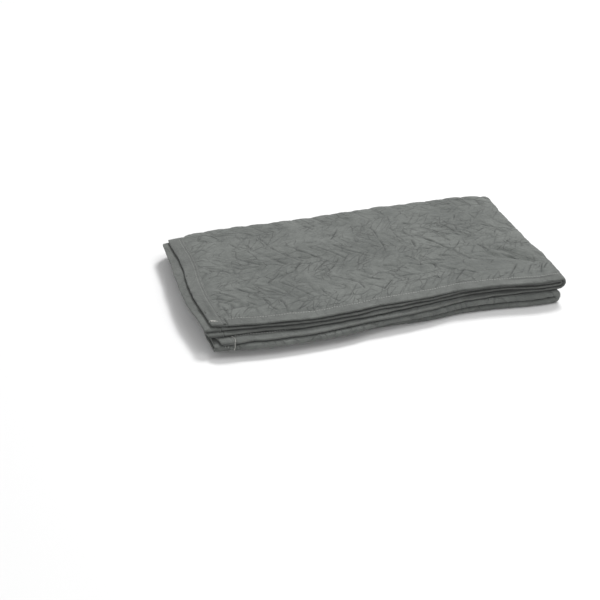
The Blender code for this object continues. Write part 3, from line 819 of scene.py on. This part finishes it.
def bake_map(piece, flat):
    """A flat map of the cloth: its top face large, its other faces smaller, and its rim in a narrow strip."""
    u, v, outer = flat[:, 0], flat[:, 1], flat[:, 2] > 0
    beyond_u = MAP_TOP[0] + (1 - MAP_TOP[0]) * (u - CROSS_END) / (CLOTH_U - CROSS_END)
    beyond_v = MAP_TOP[1] + (MAP_OUTER - MAP_TOP[1]) * (v - STACK_END) / (CLOTH_V - STACK_END)
    map_u = np.where(u < CROSS_END, MAP_TOP[0] * u / CROSS_END, beyond_u)
    map_v = np.where(v < STACK_END, MAP_TOP[1] * v / STACK_END, beyond_v)
    map_u = np.where(outer, map_u, u / CLOTH_U)
    inner_v = MAP_OUTER + MAP_MARGIN + (MAP_INNER - MAP_OUTER - MAP_MARGIN) * v / CLOTH_V
    map_v = np.where(outer, map_v, inner_v)
    mesh = piece.data
    corner = np.zeros(len(mesh.loops), np.int32)
    mesh.loops.foreach_get("vertex_index", corner)
    total = np.zeros(len(mesh.polygons), np.int32)
    mesh.polygons.foreach_get("loop_total", total)
    face = np.repeat(np.arange(len(total)), total)
    outer_share = np.bincount(face, outer[corner]) / total
    rim = ((outer_share > 0) & (outer_share < 1))[face]
    around = (u + v)[corner] / (CLOTH_U + CLOTH_V)
    strip = np.where(outer[corner], RIM_OUTER, RIM_INNER)
    places = np.stack([np.where(rim, around, map_u[corner]), np.where(rim, strip, map_v[corner])], axis=-1)
    layer = mesh.uv_layers.new(name="OFBake")
    layer.data.foreach_set("uv", places.astype(np.float32).ravel())


bake_map(quilted_cloth, flat)
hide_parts("quilted_panel")


# The binding. Four tapes of the same grey, folded over the raw edges of the quilt and sewn down: narrow ones
# along the two sides, and wider ones over the two ends, which run right through to the corners. The narrow
# ones butt against them.

TAPE_STEP = 0.0042
BUTT_GAP = 0.0006
STITCH_INSET = 0.0030
SIDE_FROM, SIDE_TO = END_TAPE + BUTT_GAP, CLOTH_U - END_TAPE - BUTT_GAP

# The tape's section: its thinned lip, where it starts to round, and its steps
TAPE_LIP = 0.0004
TAPE_BEVEL = 0.0006
NOSE_START = 0.0012
NOSE_ANGLE = 75
TAPE_FLAT_STEPS = 5
TAPE_ROUND_STEPS = 5
CAP_FLATTER = 0.8

# Its relief: ripples, deepest by the stitches, longer waves, the stitches' groove, and its pinched edge
TAPE_PUCKER = 0.00028
RIPPLE_SIZE = 0.0062
RIPPLE_STRETCH = 0.35
RIPPLE_LEAST = 0.6
RIPPLE_BY_STITCHES = 1.4
PUCKER_REACH = 0.0035
TAPE_WAVE = 0.0004
WAVE_SIZE = 0.030
WAVE_STRETCH = 0.5
OPEN_SIZE = 0.0125
OPEN_STRETCH = 0.45
GROOVE = 0.00045
GROOVE_WIDE = 0.0012
TAPE_PINCH = 0.20
PINCH_REACH = 0.0060
RELIEF_START = 0.0005
OUTER_SLACK = 0.0001
PLEAT_WIDE = 0.0013
PLEAT_TAPER = 6

# How much shade is painted in the stitches' groove, in the pleats and on the underside's edge, and how far in
# the edge's painted shade reaches
GROOVE_PAINTED_SHADE = 0.25
GROOVE_PAINTED_SHADE_WIDE = 0.0014
PLEAT_PAINTED_SHADE = 1200
TAPE_SHADE = 0.0065
UNDER_SLACK = 0.0004

# Each tape's width, its start and end along its edge, how (along, inwards) lies in the cloth, and whether its
# ends are closed. Then how far its upper face lies open on top of the stack, how much it puckers there, its
# pleats along itself, and its seed
TAPES = {
    "near_side": {
        "width": SIDE_TAPE, "from": SIDE_FROM, "to": SIDE_TO, "closed": False, "seed": 21,
        "place": lambda along, inwards: (along, inwards),
        "open": CROSS_REACH, "pucker": 0.00030,
        "pleats": ({"start": 0.600, "end": 0.720, "inwards": 0.0148, "deep": 0.0008},),
    },
    "far_side": {
        "width": SIDE_TAPE, "from": SIDE_FROM, "to": SIDE_TO, "closed": False, "seed": 23,
        "place": lambda along, inwards: (along, CLOTH_V - inwards),
        "open": 0.0, "pucker": 0.0, "pleats": (),
    },
    "first_end": {
        "width": END_TAPE, "from": 0.0, "to": CLOTH_V, "closed": True, "seed": 25,
        "place": lambda along, inwards: (inwards, along),
        "open": STACK_REACH, "pucker": 0.00070,
        "pleats": ({"start": 0.020, "end": 0.110, "inwards": 0.0130, "deep": 0.0003},
                   {"start": 0.150, "end": 0.260, "inwards": 0.0090, "deep": 0.0003}),
    },
    "second_end": {
        "width": END_TAPE, "from": 0.0, "to": CLOTH_V, "closed": True, "seed": 27,
        "place": lambda along, inwards: (CLOTH_U - inwards, along),
        "open": 0.0, "pucker": 0.0, "pleats": (),
    },
}


def tape_section(width):
    """The tape's section as (in from the cloth's edge, height): its outer line, then its inner line."""
    upper = [(width, TAPE_HALF - TAPE_LIP), (width - TAPE_BEVEL, TAPE_HALF)]
    flat_part = np.linspace(width - STITCH_INSET, NOSE_START, TAPE_FLAT_STEPS)
    upper += [(inwards, TAPE_HALF) for inwards in flat_part]
    nose = -(TAPE_GAP + TAPE_NOSE)
    for angle in np.linspace(NOSE_ANGLE, 0, TAPE_ROUND_STEPS):
        inwards = NOSE_START + (nose - NOSE_START) * np.cos(np.radians(angle))
        upper.append((inwards, TAPE_HALF * np.sin(np.radians(angle)) if angle else 0.0))
    outer = upper + [(inwards, -level) for inwards, level in reversed(upper[:-1])]
    inner_half = EDGE_HALF + TAPE_GAP
    inner = [(width, inner_half), (-TAPE_GAP, inner_half), (-TAPE_GAP, -inner_half), (width, -inner_half)]
    return outer, inner


def tape_mesh(width, stops, place, closed_ends):
    """A tape's mesh from its section at each stop. place turns (along, inwards) into (u, v)."""
    outer, inner = tape_section(width)
    bm = bmesh.new()
    flat, rings = [], []
    for number, along in enumerate(stops):
        ring = []
        first, last = number == 0, number == len(stops) - 1
        for line, grown in ((outer, closed_ends), (inner, False)):
            for inwards, level in line:
                at = along
                if grown and (first or last):
                    at = along + (TAPE_GAP + TAPE_NOSE) * (-1 if first else 1)
                    level = level * CAP_FLATTER
                u, v = place(at, inwards)
                flat.append((u, v, level))
                ring.append(bm.verts.new((0, 0, 0)))
        rings.append(ring)
    count = len(outer)
    total = count + len(inner)
    for one, two in zip(rings, rings[1:]):
        for k in range(count - 1):
            bm.faces.new([one[k], two[k], two[k + 1], one[k + 1]])
        for k in range(count, total - 1):
            bm.faces.new([one[k], one[k + 1], two[k + 1], two[k]])
        bm.faces.new([one[0], one[count], two[count], two[0]])
        bm.faces.new([one[count - 1], two[count - 1], two[total - 1], one[total - 1]])
    for ring, flip in ((rings[0], False), (rings[-1], True)):
        if closed_ends:
            caps = [ring[:count], ring[count:][::-1], [ring[0], ring[count - 1], ring[-1], ring[count]]]
        else:
            caps = [ring[:count] + ring[count:][::-1]]
        for cap in caps:
            bm.faces.new(cap[::-1] if flip else cap)
    bmesh.ops.recalc_face_normals(bm, faces=bm.faces)
    return bm, np.array(flat)


def pleated(along, inwards, pleats):
    """How deep in a pleat each point of a tape is."""
    deep = np.zeros(along.shape)
    for pleat in pleats:
        share = (along - pleat["start"]) / (pleat["end"] - pleat["start"])
        taper = eased(tapered(share, PLEAT_TAPER))
        deep = deep + pleat["deep"] * taper * hump(inwards - pleat["inwards"], PLEAT_WIDE)
    return deep


def tape_height(level, along, inwards, tape):
    """A tape's own height at each point, with its small puckers, its pleats and its pinched edge."""
    outer = np.abs(level) > EDGE_HALF + TAPE_GAP + OUTER_SLACK
    off_stitches = inwards - (tape["width"] - STITCH_INSET)
    ripple = patchy(along, RIPPLE_STRETCH * inwards, RIPPLE_SIZE, tape["seed"]) * TAPE_PUCKER
    ripple = ripple * (RIPPLE_LEAST + RIPPLE_BY_STITCHES * hump(off_stitches, PUCKER_REACH))
    sunk = GROOVE * hump(off_stitches, GROOVE_WIDE)
    wave = TAPE_WAVE * patchy(along, inwards * WAVE_STRETCH, WAVE_SIZE, tape["seed"] + 1)
    folded_in = np.where(level > 0, pleated(along, inwards, tape["pleats"]), 0.0)
    open_face = np.where(level > 0, eased((tape["open"] - along) / OPEN_SIZE), 0.0)
    pucker = patchy(along, OPEN_STRETCH * inwards, OPEN_SIZE, tape["seed"] + 2)
    wave = wave + tape["pucker"] * open_face * pucker
    raised = np.sign(level) * (ripple - sunk + wave - folded_in)
    relief = np.where(outer & (inwards > RELIEF_START), raised, 0.0)
    thin = TAPE_PINCH * hump(np.maximum(inwards, 0.0), PINCH_REACH)
    pinched = np.sign(level) * np.maximum(np.abs(level) * (1 - thin), EDGE_HALF + 2 * TAPE_GAP)
    return np.where(outer, pinched, level) + relief


tape_cloth = cloth_material(
    "tape cloth",
    dark=(0.080, 0.085, 0.080),
    light=(0.134, 0.141, 0.133),
    # The colour that the painted shade darkens the tape towards
    painted_shade_colour=(0.026, 0.028, 0.027),
    threads=420.0,
    crinkle=0.42,
    creasing=0.45,
    rough=0.84,
    sheen=0.12,
)


def add_tape(side, tape):
    """One tape of the binding, from its row in the table."""
    node = side + "_binding"
    width, length_from, length_to, place = tape["width"], tape["from"], tape["to"], tape["place"]
    count = int(round((length_to - length_from) / TAPE_STEP))
    stops = np.linspace(length_from, length_to, count + 1)
    bm, flat = tape_mesh(width, stops, place, tape["closed"])
    corner, ahead, across = np.array([place(0.0, 0.0), place(1.0, 0.0), place(0.0, 1.0)])
    along = (flat[:, :2] - corner) @ (ahead - corner)
    inwards = (flat[:, :2] - corner) @ (across - corner)
    level = tape_height(flat[:, 2], along, inwards, tape)
    points = in_frame(settled(flat[:, 0], flat[:, 1], level))
    piece = piece_from(side + "_tape", bm, points, tape_cloth)
    # Painted shade in the colour: in the stitches' groove, in the pleats, and on the underside near the edge,
    # where it tucks out of the light
    groove = hump(inwards - (width - STITCH_INSET), GROOVE_PAINTED_SHADE_WIDE) * GROOVE_PAINTED_SHADE
    pleat = PLEAT_PAINTED_SHADE * np.where(flat[:, 2] > 0, pleated(along, inwards, tape["pleats"]), 0.0)
    middle = in_frame(settled(flat[:, 0], flat[:, 1], 0 * level))
    under = points[:, 2] < middle[:, 2] - UNDER_SLACK
    edge = np.where(under, np.clip(1 - inwards / TAPE_SHADE, 0.0, 1.0), 0.0)
    keep_places(piece, flat, np.clip(np.maximum.reduce([groove, pleat, edge]), 0.0, 1.0))
    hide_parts(node)
    return piece


tapes = [add_tape(side, tape) for side, tape in TAPES.items()]


# The sewing. Lock stitches of light grey thread hold the tapes down, one row on a side tape and two on an end
# tape, and finer stitches in the cloth's own grey run down every quilted row. At two corners the seam is sewn
# back over itself in whitish thread, and at one of them the thread's end hangs loose.

STITCH_LONG = 0.0036
STITCH_PITCH = 0.0052
STITCH_SINK = 0.0005
THREAD_RADIUS = 0.00030
SIDE_THREAD_RADIUS = 0.00058
THREAD_LIFT = 0.4
SIDE_ROWS = (STITCH_INSET,)
END_ROWS = (STITCH_INSET, STITCH_INSET + 0.0052)


def thread_material(name, colour, twist):
    """Twisted sewing thread."""
    material = bpy.data.materials.new(name)
    material.use_nodes = True
    tree = material.node_tree
    shader = tree.nodes["Principled BSDF"]
    place = add_node(tree, "ShaderNodeTexCoord")
    noise = add_node(tree, "ShaderNodeTexNoise", {"Scale": twist}, {"Vector": place.outputs["Object"]})
    darker = [0.72 * part for part in colour]
    tones = two_tones(tree, noise.outputs["Fac"], 0.30, darker, 0.70, colour)
    tree.links.new(tones, shader.inputs["Base Color"])
    shader.inputs["Roughness"].default_value = 0.60
    shader.inputs["Sheen Weight"].default_value = 0.15
    return material


def stitch_points(centre, direction, level, side, radius):
    """Points of many stitches on the flat cloth, ten for each: a tip, two rings of four and a tip."""
    across = np.stack([-direction[:, 1], direction[:, 0]], axis=-1)
    half = STITCH_LONG / 2
    spots = [(-half, 0, -STITCH_SINK)]
    for along in (-half / 2, half / 2):
        spots += [(along, out * radius, up * radius) for out, up in ((1, 0), (0, 1), (-1, 0), (0, -1))]
    spots += [(half, 0, -STITCH_SINK)]
    points = []
    for along, out, up in spots:
        spot = centre + along * direction + out * across
        points.append(np.column_stack([spot, side * (level + up)]))
    return np.stack(points, axis=1)


STITCH_POINTS = 10
STITCH_FACES = (
    (0, 2, 1), (0, 3, 2), (0, 4, 3), (0, 1, 4),
    (1, 2, 6, 5), (2, 3, 7, 6), (3, 4, 8, 7), (4, 1, 5, 8),
    (9, 5, 6), (9, 6, 7), (9, 7, 8), (9, 8, 5),
)


def add_stitches(name, blocks, material):
    """One piece of many stitches, from blocks of their flat points."""
    flat = np.concatenate(blocks).reshape(-1, 3)
    points = in_frame(settled(flat[:, 0], flat[:, 1], flat[:, 2]))
    firsts = range(0, len(flat), STITCH_POINTS)
    faces = [tuple(first + corner for corner in face) for first in firsts for face in STITCH_FACES]
    mesh = bpy.data.meshes.new(name)
    mesh.from_pydata([tuple(point) for point in points], [], faces)
    mesh.polygons.foreach_set("use_smooth", [True] * len(mesh.polygons))
    mesh.materials.append(material)
    mesh.validate()
    piece = linked(name, mesh)
    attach(piece, "root")


def tape_rows(tape, insets, radius):
    """Stitches along a tape on both of its faces."""
    place = tape["place"]
    along = np.arange(tape["from"] + STITCH_PITCH, tape["to"] - STITCH_PITCH, STITCH_PITCH)
    run = np.array(place(1.0, 0.0)) - np.array(place(0.0, 0.0))
    direction = np.tile(run, (len(along), 1))
    blocks = []
    for inset in insets:
        inwards = np.full(len(along), tape["width"] - inset)
        centre = np.column_stack(place(along, inwards))
        for side in (1.0, -1.0):
            face = np.full(len(along), side * TAPE_HALF)
            level = np.abs(tape_height(face, along, inwards, tape)) + THREAD_LIFT * radius
            blocks.append(stitch_points(centre, direction, level, side, radius))
    return np.concatenate(blocks)


side_thread = thread_material("pale grey thread", (0.500, 0.504, 0.482), 900.0)
side_blocks = [tape_rows(TAPES[side], SIDE_ROWS, SIDE_THREAD_RADIUS) for side in ("near_side", "far_side")]
add_stitches("side_stitches", side_blocks, side_thread)
end_thread = thread_material("light grey thread", (0.370, 0.374, 0.356), 900.0)
end_blocks = [tape_rows(TAPES[end], END_ROWS, THREAD_RADIUS) for end in ("first_end", "second_end")]
add_stitches("end_stitches", end_blocks, end_thread)

# The quilted rows' own stitches: their size, how far inside the tapes they stay, and how they follow a row
QUILT_THREAD_RADIUS = 0.00022
QUILT_STITCH_PITCH = STITCH_PITCH * 0.76
QUILT_FROM_SIDE = 0.004
QUILT_FROM_END = 0.002
QUILT_LIFT = 0.00005
FOLLOW_ROUNDS = 4

quilt_thread = thread_material("cloth grey thread", (0.120, 0.126, 0.118), 900.0)
quilt_blocks = []
down = np.arange(FIELD_V + QUILT_FROM_SIDE, STACK_END, QUILT_STITCH_PITCH)
for row_number in range(QUILT_ROWS + 1):
    line = FIELD_U + row_number * ROW_PITCH + zigzag(down)
    wandered = line
    for again in range(FOLLOW_ROUNDS):
        wandered = line - STITCH_WANDER * patchy(wandered, down, WANDER_SIZE, WANDER_SEED)
    direction = np.column_stack([np.gradient(wandered, down), np.ones(len(down))])
    direction = direction / np.linalg.norm(direction, axis=1)[:, None]
    inside = (wandered > FIELD_U + QUILT_FROM_END) & (wandered < CROSS_END)
    centre, direction = np.column_stack([wandered, down])[inside], direction[inside]
    level, _ = cloth_face(centre[:, 0], centre[:, 1], np.ones(len(centre)))
    quilt_blocks.append(stitch_points(centre, direction, level + QUILT_LIFT, 1.0, QUILT_THREAD_RADIUS))
add_stitches("quilt_stitches", quilt_blocks, quilt_thread)

# The loose ends at the corners, as places (u, v, w) in the cloth, and the steps down that the last one hangs
LOOSE_RADIUS = 0.00033
LOOSE_STEPS = 6
ON_TAPE = TAPE_HALF + 0.0004
CORNER_LINES = (
    ((0.0012, 0.0098, ON_TAPE), (0.0062, 0.0108, ON_TAPE), (0.0135, 0.0096, ON_TAPE)),
    ((-0.0020, 0.0124, -0.0006), (0.0008, 0.0124, ON_TAPE), (0.0085, 0.0086, ON_TAPE)),
    ((0.0016, 0.0136, ON_TAPE), (0.0052, 0.0132, ON_TAPE), (0.0102, 0.0122, ON_TAPE)),
)
SEAM_U = CLOTH_U - END_TAPE - 0.0010
SEAM_LINE = (
    (SEAM_U + 0.001, 0.0190, -ON_TAPE),
    (SEAM_U - 0.0005, 0.0090, -ON_TAPE),
    (SEAM_U + 0.0020, 0.0006, -ON_TAPE),
    (SEAM_U + 0.0040, -0.0022, 0.0),
)
HANGING = ((-0.0010, -0.0052, -0.0046), (-0.0034, -0.0066, -0.0108))


def on_cloth(places):
    """Places in the frame from (u, v, w) in the cloth."""
    places = np.array(places, float)
    return in_frame(settled(places[:, 0], places[:, 1], places[:, 2]))


def add_thread(name, line, radius, material):
    """A loose thread along a line of places in the frame."""
    line = np.array(line, float)
    steps = np.linspace(0, len(line) - 1, LOOSE_STEPS * (len(line) - 1) + 1)
    smooth = np.column_stack([read_off(steps, np.arange(len(line)), line[:, k]) for k in range(3)])
    curve = bpy.data.curves.new(name, "CURVE")
    curve.dimensions = "3D"
    curve.bevel_depth = radius
    curve.bevel_resolution = 2
    curve.use_fill_caps = True
    spline = curve.splines.new("POLY")
    spline.points.add(len(smooth) - 1)
    for point, place in zip(spline.points, smooth):
        point.co = (*place, 1.0)
    holder = linked(name + " line", curve)
    bpy.context.view_layer.update()
    mesh = bpy.data.meshes.new_from_object(holder.evaluated_get(bpy.context.evaluated_depsgraph_get()))
    bpy.data.objects.remove(holder)
    mesh.name = name
    mesh.materials.clear()
    mesh.materials.append(material)
    piece = linked(name, mesh)
    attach(piece, "root")


whitish_thread = thread_material("whitish thread", (0.640, 0.630, 0.590), 700.0)
for number, corner_line in enumerate(CORNER_LINES):
    add_thread(f"corner_thread_{number + 1}", on_cloth(corner_line), LOOSE_RADIUS, whitish_thread)
seam_line = list(on_cloth(SEAM_LINE))
seam_line += [seam_line[-1] + np.array(step) for step in HANGING]
add_thread("seam_thread", seam_line, LOOSE_RADIUS, whitish_thread)


# The floor. A plain pale surface that the blanket lies on, with soft studio light from above, from behind and
# weakly from in front, and the camera where the photographer stood.

FLOOR_SIZE = 8.0
FLOOR_DROP = 0.0004
FLOOR_GREY = (0.68, 0.68, 0.68, 1.0)
half = FLOOR_SIZE / 2
floor_corners = [(-half, -half, 0), (half, -half, 0), (half, half, 0), (-half, half, 0)]
floor_mesh = bpy.data.meshes.new("floor")
floor_mesh.from_pydata(floor_corners, [], [(0, 1, 2, 3)])
floor_paint = bpy.data.materials.new("floor paint")
floor_paint.use_nodes = True
floor_paint.node_tree.nodes["Principled BSDF"].inputs["Base Color"].default_value = FLOOR_GREY
floor_paint.node_tree.nodes["Principled BSDF"].inputs["Roughness"].default_value = 0.9
floor_mesh.materials.append(floor_paint)
floor = linked("floor", floor_mesh)
floor.location.z = -FLOOR_DROP

world = bpy.data.worlds.new("studio")
world.use_nodes = True
world.node_tree.nodes["Background"].inputs["Color"].default_value = (1.0, 1.0, 1.0, 1.0)
world.node_tree.nodes["Background"].inputs["Strength"].default_value = 0.60
bpy.context.scene.world = world


def studio_light(name, place, size, power):
    """A soft lamp of this size that shines at the middle of the frame."""
    lamp = bpy.data.lights.new(name, "AREA")
    lamp.shape = "RECTANGLE"
    lamp.size, lamp.size_y = size
    lamp.energy = power
    holder = linked(name, lamp)
    holder.location = place
    holder.rotation_euler = (Vector((0, 0, 0)) - Vector(place)).to_track_quat("-Z", "Y").to_euler()


studio_light("key light", (1.60, 1.75, 3.75), (1.2, 0.9), 160)
studio_light("top light", (1.50, -0.60, 4.00), (2.4, 2.4), 58)
studio_light("front light", (-1.30, -2.80, 1.70), (2.0, 1.2), 23)

CAMERA_AT = Vector((-0.42289, -1.83711, 1.39898)) + CORNER
LOOKS_ALONG = Vector((0.2527448, 0.7874359, -0.5621964)).normalized()
UP = Vector((0.1257616, 0.5493952, 0.8260442))
SENSOR_WIDTH = 36.0
LENS = 73.88
right = LOOKS_ALONG.cross(UP).normalized()
camera_data = bpy.data.cameras.new("camera")
camera_data.sensor_width = SENSOR_WIDTH
camera_data.lens = LENS
camera = linked("camera", camera_data)
turn = Matrix((right, right.cross(LOOKS_ALONG), -LOOKS_ALONG)).transposed()
camera.matrix_world = Matrix.Translation(CAMERA_AT) @ turn.to_4x4()
bpy.context.scene.camera = camera
bpy.context.scene.view_settings.view_transform = "Standard"
